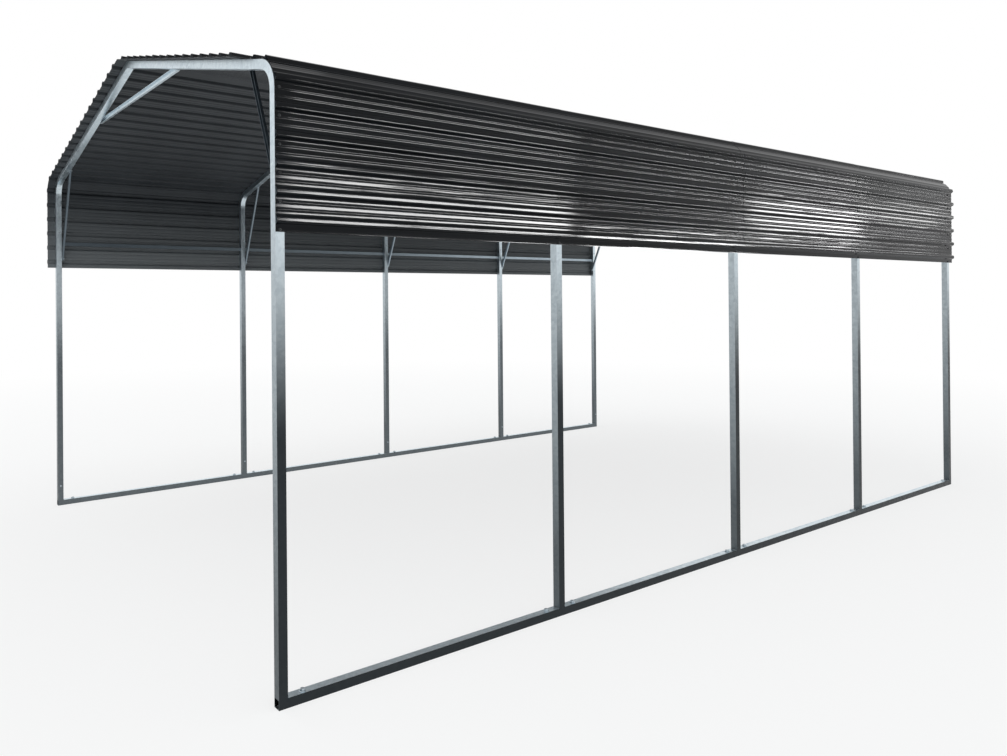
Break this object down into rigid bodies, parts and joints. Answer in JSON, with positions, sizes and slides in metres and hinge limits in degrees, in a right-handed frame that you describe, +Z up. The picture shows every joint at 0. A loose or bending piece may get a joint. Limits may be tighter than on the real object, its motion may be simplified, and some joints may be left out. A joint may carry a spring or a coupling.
{
  "type": "carport",
  "caption": "Open-sided carport with a square-tube frame on base rails and a gable roof of dark ribbed sheets that wrap over the eaves",
  "frame": {"origin": "on the ground at the middle of the plan", "axes": "+X is the right side, -Y is the front opening and Y runs along the length, +Z is up"},
  "size_m": [3.6736, 6.148, 2.8854],
  "materials": {
    "galvanised_tube": "satin",
    "coated_sheet": "gloss"
  },
  "bodies": {
    "root": {"base_rail_right": "galvanised_tube", "base_rail_left": "galvanised_tube", "post_right_1": "galvanised_tube", "post_right_2": "galvanised_tube", "post_right_3": "galvanised_tube", "post_right_4": "galvanised_tube", "post_right_5": "galvanised_tube", "post_left_1": "galvanised_tube", "post_left_2": "galvanised_tube", "post_left_3": "galvanised_tube", "post_left_4": "galvanised_tube", "post_left_5": "galvanised_tube", "elbows_right": "galvanised_tube", "elbows_left": "galvanised_tube", "roof_bow_1": "galvanised_tube", "roof_bow_2": "galvanised_tube", "roof_bow_3": "galvanised_tube", "roof_bow_4": "galvanised_tube", "roof_bow_5": "galvanised_tube", "collar_ties": "galvanised_tube", "knee_braces_right": "galvanised_tube", "knee_braces_left": "galvanised_tube", "side_girts_right": "galvanised_tube", "side_girts_left": "galvanised_tube", "eave_sheet_right_1": "coated_sheet", "eave_sheet_right_2": "coated_sheet", "eave_sheet_right_3": "coated_sheet", "eave_sheet_right_4": "coated_sheet", "roof_sheet_right_1": "coated_sheet", "roof_sheet_right_2": "coated_sheet", "roof_sheet_right_3": "coated_sheet", "roof_sheet_right_4": "coated_sheet", "ridge_sheet_1": "coated_sheet", "ridge_sheet_2": "coated_sheet", "ridge_sheet_3": "coated_sheet", "ridge_sheet_4": "coated_sheet", "roof_sheet_left_1": "coated_sheet", "roof_sheet_left_2": "coated_sheet", "roof_sheet_left_3": "coated_sheet", "roof_sheet_left_4": "coated_sheet", "eave_sheet_left_1": "coated_sheet", "eave_sheet_left_2": "coated_sheet", "eave_sheet_left_3": "coated_sheet", "eave_sheet_left_4": "coated_sheet"}
  },
  "joints": []
}
